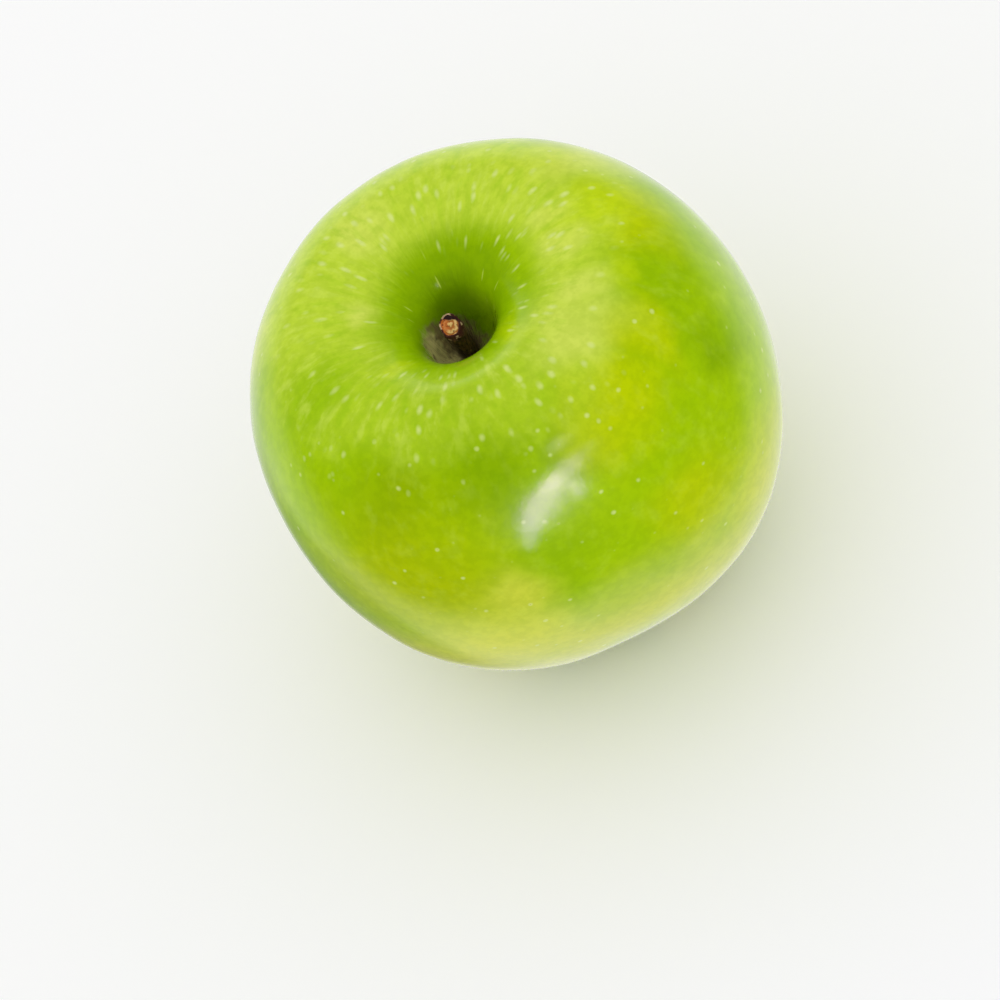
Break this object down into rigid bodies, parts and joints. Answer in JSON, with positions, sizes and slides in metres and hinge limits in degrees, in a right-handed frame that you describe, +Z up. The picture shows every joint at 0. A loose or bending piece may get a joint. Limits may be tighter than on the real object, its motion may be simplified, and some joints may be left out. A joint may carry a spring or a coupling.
{
  "type": "green apple",
  "caption": "Whole green apple with a short woody stem in a deep stem cavity and a dried calyx in the basin underneath.",
  "frame": {"origin": "bottom centre of the box round the apple, on the surface that it stands on", "axes": "+Z up along the core from the calyx to the stem, -Y towards the front"},
  "size_m": [0.078, 0.0766, 0.0701],
  "materials": {
    "apple_skin": "smooth waxy skin, yellow-green with pale lenticels",
    "stem_wood": "rough dry bark, tan at the cut-off end",
    "dried_calyx": "matt, dry and slightly downy",
    "dried_stamens": "matt and dry"
  },
  "bodies": {
    "root": {"fruit": "apple_skin", "stem": "stem_wood", "calyx_sepals": "dried_calyx", "calyx_stamens": "dried_stamens"}
  },
  "joints": []
}
